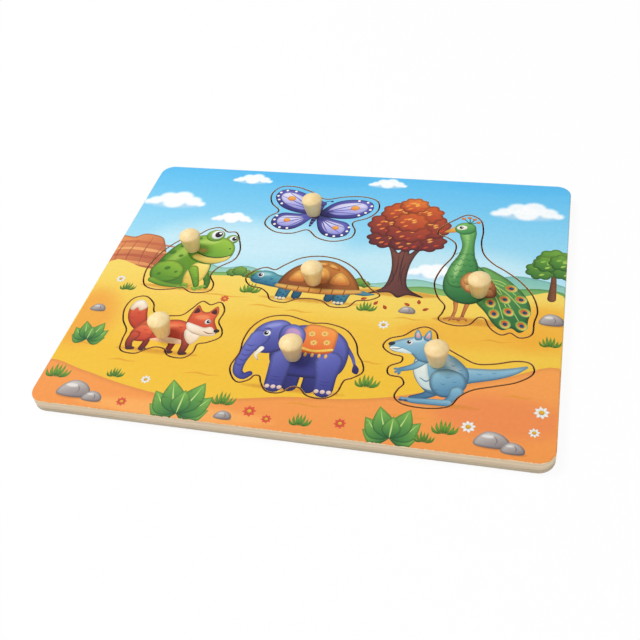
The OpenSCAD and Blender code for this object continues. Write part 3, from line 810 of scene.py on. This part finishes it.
# %% Outlines of the solids
def closed_loops(directed_edges):
    open_edges = {}
    for a, b in directed_edges:
        if open_edges.pop((b, a), None) is None:
            open_edges[(a, b)] = True
    onward = {a: b for a, b in open_edges}
    loops = []
    while onward:
        start, at = onward.popitem()
        loop = [start]
        while at != start:
            loop.append(at)
            at = onward.pop(at)
        loops.append(loop)
    return loops


def edges_round(corners):
    return zip(corners, corners[1:] + corners[:1])


def length_of(loop):
    return np.linalg.norm(loop - np.roll(loop, 1, 0), axis=1).sum()


def face_loops(node):
    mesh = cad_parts[node].data
    places = np.array([v.co for v in mesh.vertices]) / MM
    top = places[:, 2].max()
    spots = [tuple(p) for p in np.round(places[:, :2], 3)]
    edges = []
    for face in mesh.polygons:
        corners = list(face.vertices)
        if places[corners, 2].min() > top - 0.001:
            edges += edges_round([spots[c] for c in corners])
    return sorted((np.array(loop) for loop in closed_loops(edges)), key=length_of, reverse=True)


print("outlines on the face board, mm:", [round(length_of(loop)) for loop in face_loops("frame_board")])


# %% Inside, distance and inset
PAIRS_AT_ONCE = 1000000
NEVER_ZERO = 1e-9
SHARPEST_TURN = 0.3


def portions(points, loop):
    return np.array_split(np.arange(len(points)), 1 + len(points) * len(loop) // PAIRS_AT_ONCE)


def inside(points, loop):
    a, b = loop, np.roll(loop, -1, 0)
    rise = np.where(a[:, 1] == b[:, 1], NEVER_ZERO, b[:, 1] - a[:, 1])
    odd = np.zeros(len(points), bool)
    for part in portions(points, loop):
        x, y = points[part, 0, None], points[part, 1, None]
        across = (a[:, 1] > y) != (b[:, 1] > y)
        odd[part] = (across & (x < a[:, 0] + (y - a[:, 1]) * (b[:, 0] - a[:, 0]) / rise)).sum(1) % 2
    return odd


def on_wood(points, loops):
    wood = np.zeros(len(points), bool)
    for loop in loops:
        wood ^= inside(points, loop)
    return wood


def distance_to(points, loop):
    run = np.roll(loop, -1, 0) - loop
    long = np.maximum((run ** 2).sum(1), 1e-12)
    nearest = np.zeros(len(points))
    for part in portions(points, loop):
        away_x, away_y = points[part, 0, None] - loop[:, 0], points[part, 1, None] - loop[:, 1]
        along = np.clip((away_x * run[:, 0] + away_y * run[:, 1]) / long, 0, 1)
        nearest[part] = np.hypot(away_x - along * run[:, 0], away_y - along * run[:, 1]).min(1)
    return nearest


def moved_in(loop, amount):
    ahead = np.roll(loop, -1, 0) - loop
    ahead /= np.maximum(np.linalg.norm(ahead, axis=1), NEVER_ZERO)[:, None]
    left = np.stack([-ahead[:, 1], ahead[:, 0]], 1)
    before = np.roll(left, 1, 0)
    turn = np.maximum(1 + (left * before).sum(1), SHARPEST_TURN)
    return loop + amount * (left + before) / turn[:, None]


# %% Ink over a point
def ink_at(ink, points):
    low, high = ink["span"]
    t = np.clip((points @ ink["heading"] - low) / (high - low), 0, 1)[:, None]
    tone = ink["dark"] * (1 - t) + ink["light"] * t
    cover = np.full(len(points), ink["cover"])
    if ink["rim"] or ink["fade"]:
        depth = distance_to(points, ink["outline"])
        tone = tone * (1 - ink["rim"] * np.clip(1 - depth / ink["rim_width"], 0, 1))[:, None]
    if ink["fade"]:
        f = np.clip(depth / ink["fade"], 0, 1)
        cover = cover * f * f * (3 - 2 * f)
    return tone, cover


def inks_on(loops):
    low, high = loops[0].min(0), loops[0].max(0)
    used = []
    for ink in inks:
        outline = ink["outline"]
        if (outline.max(0) < low).any() or (outline.min(0) > high).any():
            continue
        meets = inside(outline, loops[0]).any() or inside(loops[0], outline).any()
        sawn_out = any(inside(outline, hole).all() for hole in loops[1:])
        if meets and not sawn_out:
            used.append(ink)
    return used


# %% Cut the face into triangles
ROW_STEP = 0.866
SHARP_FADE = 5
WELD = 0.004
ROUNDING_STEPS = np.radians([0, 30, 60, 90])


def shading_points(loops, used, spacing):
    low, high = loops[0].min(0), loops[0].max(0)
    found = []
    for row, y in enumerate(np.arange(low[1], high[1], spacing * ROW_STEP)):
        x = np.arange(low[0] + spacing / 2 * (row % 2), high[0], spacing)
        found.append(np.column_stack([x, np.full(len(x), y)]))
    for ink in used:
        outline, fade = ink["outline"], ink["fade"]
        for depth in [ink["rim_width"]] * (ink["rim"] > 0) + [fade / 2, fade] * (0 < fade < SHARP_FADE):
            ring = moved_in(outline, depth)
            ring = ring[inside(ring, outline)]
            found.append(ring[distance_to(ring, outline) > 0.9 * depth])
    points = np.vstack(found)
    return points[on_wood(points, loops)]


def cut_face(loops, eases, used, spacing):
    lines = [loop for loop, ease in zip(loops, eases) if not ease]
    for loop, ease in zip(loops, eases):
        if ease:
            lines += [moved_in(loop, ease * (1 - math.sin(a))) for a in ROUNDING_STEPS]
    points, edges = [], []
    for line in lines + [ink["outline"] for ink in used]:
        first = len(points)
        points += [Vector(p) for p in line]
        edges += [(first + i, first + (i + 1) % len(line)) for i in range(len(line))]
    points += [Vector(p) for p in shading_points(loops, used, spacing)]
    places, _, triangles = delaunay_2d_cdt(points, edges, [], 0, WELD, False)[:3]
    places, triangles = np.array(places), np.array(triangles)
    triangles = triangles[on_wood(places[triangles].mean(1), loops)]
    kept, triangles = np.unique(triangles, return_inverse=True)
    return places[kept], triangles.reshape(-1, 3)


# %% Ink in each corner, and the sanded rounding
ON_THE_EDGE = 0.995


def inked_corners(places, triangles, used):
    centres = places[triangles].mean(1)
    tones = np.zeros((len(triangles), 3, 3))
    for ink in used:
        outline = ink["outline"]
        near = np.flatnonzero(((centres > outline.min(0)) & (centres < outline.max(0))).all(1))
        near = near[inside(centres[near], outline)]
        corners, back = np.unique(triangles[near], return_inverse=True)
        tone, cover = ink_at(ink, places[corners])
        tones[near] += cover[back].reshape(-1, 3, 1) * (tone[back].reshape(-1, 3, 3) - tones[near])
    return tones / 255


def rounding(places, loops, eases):
    drop = np.zeros(len(places))
    turned_down = np.zeros(len(places))
    for loop, ease in zip(loops, eases):
        if ease:
            share = np.clip(1 - distance_to(places, loop) / ease, 0, 1)
            share[share > ON_THE_EDGE] = 1
            drop = np.maximum(drop, ease * (1 - np.sqrt(1 - share ** 2)))
            turned_down = np.maximum(turned_down, np.arcsin(share) / (math.pi / 2))
    return drop, 1 - turned_down


# %% [markdown]
# ### A flat layout for the export
# When the finishes are baked to textures, each sheet needs a flat layout in which no two faces lie on
# each other. The printed face keeps its shape, because it holds the drawing. The walls are unrolled
# into strips below it, and the plain underside gets a small patch in the corner.

# %% Flat layout of a sheet
MARGIN = 0.01
FACE_TALL = 0.76
ROW_GAP = 0.003
PATCH = 0.05
PATCH_LOW = 0.004


def wall_strips(places, saw_lines, scale):
    strips, at, row = [], 0.0, 0
    for line in saw_lines:
        for a, b in edges_round(line):
            step = np.linalg.norm(places[a] - places[b]) * scale
            if at + step > 1 - 2 * MARGIN:
                at, row = 0.0, row + 1
            strips.append((MARGIN + at, MARGIN + at + step, row))
            at += step
    return strips, row + 1


def lay_out(mesh, places, corners, saw_lines, floor, over, tall):
    low, high = places.min(0), places.max(0)
    scale = min((1 - 2 * MARGIN) / (high[0] - low[0]), FACE_TALL / (high[1] - low[1]))
    face_low = 1 - MARGIN - scale * (high[1] - low[1])
    top = (places[[i for face in corners for i in face]] - low) * scale + (MARGIN, face_low)

    wall_scale = scale
    strips, rows = wall_strips(places, saw_lines, wall_scale)
    while rows * (tall * wall_scale + ROW_GAP) >= face_low - PATCH - 2 * MARGIN:
        wall_scale *= 0.9
        strips, rows = wall_strips(places, saw_lines, wall_scale)
    walls = []
    for left, right, row in strips:
        up = face_low - MARGIN - row * (tall * wall_scale + ROW_GAP)
        down = up - tall * wall_scale
        walls += [(left, up), (left, down), (right, down), (right, up)]

    patch = PATCH / max(high - low)
    below = [(places[over[i]] - low) * patch + (MARGIN, PATCH_LOW) for face in floor for i in face]
    layout = np.vstack([top, walls, below]).astype(np.float32)
    mesh.uv_layers.new(name="OFBake").data.foreach_set("uv", layout.ravel())


# %% Underside and ink layer
def linear(tones):
    return np.where(tones <= 0.04045, tones / 12.92, ((tones + 0.055) / 1.055) ** 2.4)


def underside(places, saw_lines, rim):
    order = {i: k for k, i in enumerate(rim)}
    edges = [(order[a], order[b]) for line in saw_lines for a, b in edges_round(line)]
    flat = delaunay_2d_cdt([Vector(p) for p in places[rim]], edges, [], 0, 1e-5, True)
    spots, faces, sources = np.array(flat[0]), flat[2], flat[3]
    wood = on_wood(spots[np.array(faces)].mean(1), [places[line] for line in saw_lines])
    first = len(places)
    return [tuple(first + sources[c][0] for c in face[::-1]) for face, kept in zip(faces, wood) if kept]


def print_on(mesh, tones, inked):
    ink = np.ones((len(mesh.loops), 4), np.float32)
    ink[:inked.size, :3] = linear(tones).reshape(-1, 3)
    ink[:inked.size, 3] = inked.ravel()
    mesh.color_attributes.new("print", "FLOAT_COLOR", "CORNER").data.foreach_set("color", ink.ravel())


# %% A whole sheet: printed face, sawn walls and underside in one closed mesh
SAW_EASE = 0.22
SHORTEST_SAW_LINE = 30
PRINT, SANDED, SCORCHED_SHADED = 0, 1, 2


def sawn_sheet(name, node, outer_ease, spacing):
    loops = face_loops(node)
    low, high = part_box(node)
    eases = [outer_ease] + [SAW_EASE * (length_of(loop) > SHORTEST_SAW_LINE) for loop in loops[1:]]
    used = inks_on(loops)
    places, triangles = cut_face(loops, eases, used, spacing)
    drop, inked = rounding(places, loops, eases)

    corners = [tuple(t) for t in triangles.tolist()]
    saw_lines = closed_loops([edge for face in corners for edge in edges_round(list(face))])
    saw_lines.sort(key=lambda line: length_of(places[line]), reverse=True)
    rim = [i for line in saw_lines for i in line]
    under = {i: len(places) + k for k, i in enumerate(rim)}
    walls = [(a, under[a], under[b], b) for line in saw_lines for a, b in edges_round(line)]
    floor = underside(places, saw_lines, rim)

    upper = np.column_stack([places, high.z / MM - drop])
    lower = np.column_stack([places[rim], np.full(len(rim), low.z / MM)])
    mesh = bpy.data.meshes.new(name)
    mesh.from_pydata((np.vstack([upper, lower]) * MM).tolist(), [], corners + walls + floor)
    sanded = len(saw_lines[0]) if outer_ease > SAW_EASE else 0
    finishes = [PRINT] * len(corners) + [SANDED] * sanded
    # the cut walls get the brown finish: scorch of the cut plus painted shade of the saw gap
    finishes += [SCORCHED_SHADED] * (len(walls) - sanded) + [SANDED] * len(floor)
    mesh.polygons.foreach_set("material_index", finishes)
    rounded = ~np.isclose(inked[triangles], 1).all(1)
    mesh.polygons.foreach_set("use_smooth", rounded.tolist() + [True] * len(walls) + [False] * len(floor))

    print_on(mesh, inked_corners(places, triangles, used), inked[triangles])
    over = {lower_one: upper_one for upper_one, lower_one in under.items()}
    lay_out(mesh, places, corners, saw_lines, floor, over, (high.z - low.z) / MM)
    sheet = bpy.data.objects.new(name, mesh)
    bpy.context.scene.collection.objects.link(sheet)
    print(name, "faces:", len(mesh.polygons), "saw lines:", len(saw_lines))
    return sheet


# %% [markdown]
# ## Finishes
# All of the puzzle is wood, so one node group makes wood fibres and pores, and each finish stretches
# them its own way: along the board in the plies, along the axis in a turned knob, and as a faint relief
# under the print. A second group gives the uneven satin of a thin varnish.

# %% Helpers for finishes
def new_group(name, inputs, outputs):
    group = bpy.data.node_groups.new(name, "ShaderNodeTree")
    for label, kind in inputs:
        group.interface.new_socket(label, in_out="INPUT", socket_type="NodeSocket" + kind)
    for label in outputs:
        group.interface.new_socket(label, in_out="OUTPUT", socket_type="NodeSocketFloat")
    return group, group.nodes.new("NodeGroupInput").outputs, group.nodes.new("NodeGroupOutput").inputs


def noise(tree, place, scale, detail, **more):
    values = {"Vector": place, "Scale": scale, "Detail": detail, **more}
    return add_node(tree, "TexNoise", values).outputs["Fac"]


def ranged(tree, value, given, wanted, **settings):
    limits = {"From Min": given[0], "From Max": given[1], "To Min": wanted[0], "To Max": wanted[1]}
    return add_node(tree, "MapRange", {"Value": value, **limits}, **settings).outputs["Result"]


def worked_out(tree, operation, first, second):
    return add_node(tree, "Math", {0: first, 1: second}, operation=operation).outputs["Value"]


# %% Shared groups: fibres and satin
fibres_group, given, result = new_group(
    "wood_fibres", [("Place", "Vector"), ("Stretch", "Vector")], ("Fibre", "Pores", "Height"))
stretched = {0: given["Place"], 1: given["Stretch"]}
along = add_node(fibres_group, "VectorMath", stretched, operation="MULTIPLY").outputs["Vector"]
broad = noise(fibres_group, along, 1.0, 5.0, Roughness=0.62, Distortion=0.4)
fine = noise(fibres_group, along, 3.7, 3.0)
pores = ranged(fibres_group, fine, (0.60, 0.76), (0, 1))
both = {"Factor": 0.3, "A": broad, "B": fine}
fibre = add_node(fibres_group, "Mix", both, data_type="FLOAT").outputs["Result"]
fibres_group.links.new(fibre, result["Fibre"])
fibres_group.links.new(pores, result["Pores"])
fibres_group.links.new(worked_out(fibres_group, "SUBTRACT", fibre, pores), result["Height"])

satin_group, given, result = new_group(
    "satin_sheen", [("Place", "Vector"), ("Smoothest", "Float"), ("Roughest", "Float")], ("Roughness",))
patches = noise(satin_group, given["Place"], 160.0, 4.0)
sheen = ranged(satin_group, patches, (0.3, 0.7), (given["Smoothest"], given["Roughest"]))
satin_group.links.new(sheen, result["Roughness"])
print("groups:", fibres_group.name, satin_group.name)


# %% Start of every finish: a shader with fibres, satin and relief
def srgb(code):
    return (*linear(colour(code) / 255), 1.0)


def fibres_in(tree, place, stretch):
    return add_node(tree, "Group", {"Place": place, "Stretch": stretch}, node_tree=fibres_group).outputs


def wood_finish(name, stretch, smoothest, roughest, relief_height):
    material, tree = new_material(name)
    place = add_node(tree, "TexCoord").outputs["Object"]
    wood = fibres_in(tree, place, stretch)
    satin = add_node(tree, "Group", {"Place": place, "Smoothest": smoothest, "Roughest": roughest},
                     node_tree=satin_group)
    bump = add_node(tree, "Bump", {"Height": wood["Height"], "Distance": relief_height, "Strength": 1.0})
    shader = add_node(tree, "BsdfPrincipled", {
        "Roughness": satin.outputs["Roughness"], "Normal": bump.outputs["Normal"]})
    add_node(tree, "OutputMaterial", {"Surface": shader.outputs["BSDF"]})
    return material, tree, shader.inputs, place, wood


def tone_ramp(tree, value, *stops):
    ramp = add_node(tree, "ValToRGB", {"Fac": value})
    elements = ramp.color_ramp.elements
    while len(elements) < len(stops):
        elements.new(0.5)
    for element, (at, tone) in zip(elements, stops):
        element.position = at
        element.color = srgb(tone)
    return ramp.outputs["Color"]


COLOUR_A, COLOUR_B, COLOUR_RESULT = 6, 7, 2


def mixed(tree, factor, first, second):
    values = {"Factor": factor, COLOUR_A: first, COLOUR_B: second}
    return add_node(tree, "Mix", values, data_type="RGBA").outputs[COLOUR_RESULT]


# %% [markdown]
# ### Print, plies and turned wood
# The print covers the face in thin satin ink, with a hint of the fibres below it, and ends on the
# rounding of the edge. The board's outer wall is sanded and pale. The walls of the cuts are brown, partly
# the scorch of the cut and partly painted shade for the deep, narrow saw gap, so a cut shows as a dark
# line round each animal. Both show the plies, alternately long grain and end grain, and the level faces
# show the veneer. The backing board's plies take darker tones, painted shade for the lower part of the
# board's wall. The knobs are pale turned wood, each a little different in tone.

# %% Printed face
print_finish, tree, shader, place, wood = wood_finish("printed_face", (22, 700, 700), 0.42, 0.54, 0.02 * MM)
shader["Specular IOR Level"].default_value = 0.15
printed = add_node(tree, "VertexColor", layer_name="print").outputs
bare_wood = tone_ramp(tree, wood["Fibre"], (0.3, "e8c698"), (0.7, "fae2ba"))
mottle = ranged(tree, noise(tree, place, 420.0, 5.0), (0, 1), (0.93, 1.05))
grain = ranged(tree, wood["Fibre"], (0, 1), (0.96, 1.03))
ink_depth = worked_out(tree, "MULTIPLY", mottle, grain)
inked = add_node(tree, "VectorMath", {0: printed["Color"], "Scale": ink_depth}, operation="SCALE").outputs[0]
rubbed = worked_out(tree, "ADD", printed["Alpha"], noise(tree, place, 650.0, 3.0))
ink_left = ranged(tree, rubbed, (0.86, 1.02), (0, 1), interpolation_type="SMOOTHSTEP")
tree.links.new(mixed(tree, ink_left, bare_wood, inked), shader["Base Color"])
print("finish:", print_finish.name)


# %% Plies: sanded, or brown from the cut's scorch and painted shade in the saw gap
def ply_finish(name, darker, lighter, ply_height):
    material, tree, shader, place, wood = wood_finish(name, (30, 30, 1500), 0.55, 0.72, 0.04 * MM)
    long_grain = tone_ramp(tree, wood["Fibre"], (0.3, darker), (0.7, lighter))
    height = add_node(tree, "SeparateXYZ", {"Vector": place}).outputs["Z"]
    layer = worked_out(tree, "PINGPONG", height, ply_height)
    turn = 0.40 * ply_height, 0.60 * ply_height
    end_grain = ranged(tree, layer, turn, (0, 0.10), interpolation_type="SMOOTHSTEP")
    plies = mixed(tree, end_grain, long_grain, srgb("5c4630"))

    face = fibres_in(tree, place, (14, 330, 330))
    veneer = tone_ramp(tree, face["Fibre"], (0.3, "d0b286"), (0.7, "ead2aa"))
    veneer = mixed(tree, worked_out(tree, "MULTIPLY", face["Pores"], 0.25), veneer, srgb("8a6a44"))
    normal = add_node(tree, "NewGeometry").outputs["Normal"]
    facing = add_node(tree, "SeparateXYZ", {"Vector": normal}).outputs["Z"]
    level = add_node(tree, "Math", {0: facing}, operation="ABSOLUTE").outputs["Value"]
    is_face = ranged(tree, level, (0.6, 0.9), (0, 1))
    tree.links.new(mixed(tree, is_face, plies, veneer), shader["Base Color"])
    print("finish:", name, "with plies of", ply_height / MM, "mm")
    return material


sanded_finish = ply_finish("sanded_plies", "dcc4a4", "f0dcbe", 1.5 * MM)
# The backing's plies are darker than the face sheet's: painted shade for the lower part of the board's wall.
backing_shaded_finish = ply_finish("backing_shaded_plies", "b6a68e", "cec0a8", 1.0 * MM)
# Brown of the cut walls: partly the scorch of the cut, partly painted shade for the deep, narrow saw gap.
scorched_shaded_finish = ply_finish("scorched_shaded_plies", "a46c38", "cc9458", 1.5 * MM)

# %% Turned knob wood
knob_finish, tree, shader, place, wood = wood_finish("turned_wood", (420, 420, 46), 0.42, 0.56, 0.03 * MM)
pale = tone_ramp(tree, wood["Fibre"], (0.28, "eccc8c"), (0.5, "f8dea2"), (0.74, "feecbc"))
lot = ranged(tree, noise(tree, place, 14.0, 2.0), (0.35, 0.65), (0, 0.3))
toned = mixed(tree, lot, pale, srgb("e6c088"))
fleck = worked_out(tree, "MULTIPLY", wood["Pores"], 0.3)
tree.links.new(mixed(tree, fleck, toned, srgb("b98a52")), shader["Base Color"])
print("finish:", knob_finish.name)

# %% [markdown]
# ## Face board and animals
# The face board and the seven animals are sawn from one printed sheet. Each becomes one closed mesh
# with the print on its face and bare plies on its walls, and stands for the CAD solid of the same
# outline. The outer edge of the board is sanded rounder than the saw lines.

# %% Sawn sheets
BOARD_EASE = 0.9
BOARD_SPACING = 2.4
ANIMAL_SPACING = 1.8


def dress(piece, body, slot, *nodes):
    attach(piece, body)
    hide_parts(*nodes)


def finish_sheet(sheet):
    for finish in (print_finish, sanded_finish, scorched_shaded_finish):
        sheet.data.materials.append(finish)


face_board = sawn_sheet("printed_face_board", "frame_board", BOARD_EASE, BOARD_SPACING)
finish_sheet(face_board)
dress(face_board, "board", "frame_print", "frame_board")

for animal in ANIMALS:
    piece = sawn_sheet("printed_" + animal, animal + "_piece", SAW_EASE, ANIMAL_SPACING)
    finish_sheet(piece)
    dress(piece, animal, animal + "_print", animal + "_piece")


# %% [markdown]
# ## Backing board
# A thinner plywood board is glued under the face sheet and forms the floor of the pockets. Its lower
# edge is sanded round. Rings of points from its outline, one for each level, are joined by quads.

# %% Backing board
BACKING_EASE = 0.5

outline = face_loops("backing_board")[0]
low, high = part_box("backing_board")
base = low.z / MM + BACKING_EASE
levels = [(0.0, high.z / MM), (0.0, base)]
for a in np.radians([30, 60, 90]):
    levels.append((BACKING_EASE * (1 - math.cos(a)), base - BACKING_EASE * math.sin(a)))
count = len(outline)
rings = [np.column_stack([moved_in(outline, inset), np.full(count, z)]) for inset, z in levels]
last = (len(levels) - 1) * count
faces = [tuple(range(count)), tuple(reversed(range(last, last + count)))]
for first in range(0, last, count):
    for i in range(count):
        onward = (i + 1) % count
        faces.append((first + i, first + count + i, first + count + onward, first + onward))
mesh = bpy.data.meshes.new("backing_plywood")
mesh.from_pydata((np.vstack(rings) * MM).tolist(), [], faces)
mesh.polygons.foreach_set("use_smooth", [False, False] + [True] * (len(faces) - 2))
# darker plies, painted shade for the lower wall of the board
mesh.materials.append(backing_shaded_finish)
backing = bpy.data.objects.new("backing_plywood", mesh)
bpy.context.scene.collection.objects.link(backing)
dress(backing, "board", "backing_wood", "backing_board")
print("backing board:", len(mesh.polygons), "faces")

# %% [markdown]
# ## Turned knobs
# A knob is turned on a lathe: a domed top, a rounded shoulder, a straight taper down to the foot, and a
# tenon that is glued into the animal. The arcs are worked out from the sizes of the CAD solid and spun
# about its axis in finer steps than the solid has, with a small rounding at the foot and a chamfer on
# the tenon.

# %% Section of a knob
CROWN = 4.1
SHOULDER = 2.0
FOOT_ROUND = ((0.03, 0.45), (-0.06, 0.16), (-0.3, 0.0))
CHAMFER = 0.4
DOME_STEPS = 12
SHOULDER_STEPS = 10


def arc(middle, radius, first, last, steps):
    x, y = middle
    return [(x + radius * math.cos(a), y + radius * math.sin(a)) for a in np.linspace(first, last, steps)]


def knob_section(node):
    low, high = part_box(node)
    axis = (low + high) / 2
    places = np.array([v.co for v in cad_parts[node].data.vertices])
    spread = np.hypot(places[:, 0] - axis.x, places[:, 1] - axis.y) / MM
    face_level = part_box("frame_board")[1].z
    at_face = spread[np.abs(places[:, 2] - face_level) < 0.01 * MM]
    foot, tenon = at_face.max(), at_face.min()
    top, bottom, face = high.z / MM, low.z / MM, face_level / MM
    shoulder = ((high.x - low.x) / 2 / MM - SHOULDER, top - CROWN)
    dome = (shoulder[0] ** 2 + CROWN ** 2 - SHOULDER ** 2) / (2 * (CROWN - SHOULDER))
    join = math.atan2(shoulder[1] - top + dome, shoulder[0])
    to_foot = (foot - shoulder[0], face - shoulder[1])
    touch = math.atan2(to_foot[1], to_foot[0]) + math.acos(SHOULDER / math.hypot(*to_foot))
    section = [(0.0, top)] + arc((0.0, top - dome), dome, math.pi / 2, join, DOME_STEPS)[1:]
    section += arc(shoulder, SHOULDER, join, touch, SHOULDER_STEPS)[1:]
    section += [(foot + out, face + above) for out, above in FOOT_ROUND]
    section += [(tenon, face), (tenon, bottom + CHAMFER), (tenon - CHAMFER, bottom), (0.0, bottom)]
    return axis, [(r * MM, z * MM) for r, z in section]


# %% Turned knobs
TURN_STEPS = 56
SHARP_EDGE = math.radians(50)


def turned(name, node):
    axis, section = knob_section(node)
    turn = np.linspace(0, 2 * math.pi, TURN_STEPS, endpoint=False)
    points = [(axis.x, axis.y, section[0][1])]
    for r, z in section[1:-1]:
        points += [(axis.x + r * math.cos(a), axis.y + r * math.sin(a), z) for a in turn]
    points.append((axis.x, axis.y, section[-1][1]))
    lowest_ring = 1 + (len(section) - 3) * TURN_STEPS
    faces = []
    for i in range(TURN_STEPS):
        onward = (i + 1) % TURN_STEPS
        faces.append((0, 1 + i, 1 + onward))
        for ring in range(1, lowest_ring, TURN_STEPS):
            below = ring + TURN_STEPS
            faces.append((ring + i, below + i, below + onward, ring + onward))
        faces.append((len(points) - 1, lowest_ring + onward, lowest_ring + i))
    mesh = bpy.data.meshes.new(name)
    mesh.from_pydata(points, [], faces)
    mesh.polygons.foreach_set("use_smooth", [True] * len(faces))
    mesh.set_sharp_from_angle(angle=SHARP_EDGE)
    mesh.materials.append(knob_finish)
    knob = bpy.data.objects.new(name, mesh)
    bpy.context.scene.collection.objects.link(knob)
    return knob


for animal in ANIMALS:
    knob = turned("turned_" + animal + "_knob", animal + "_knob")
    dress(knob, animal, "knob_wood", animal + "_knob")
print("knobs:", len(ANIMALS), "faces each:", len(knob.data.polygons))
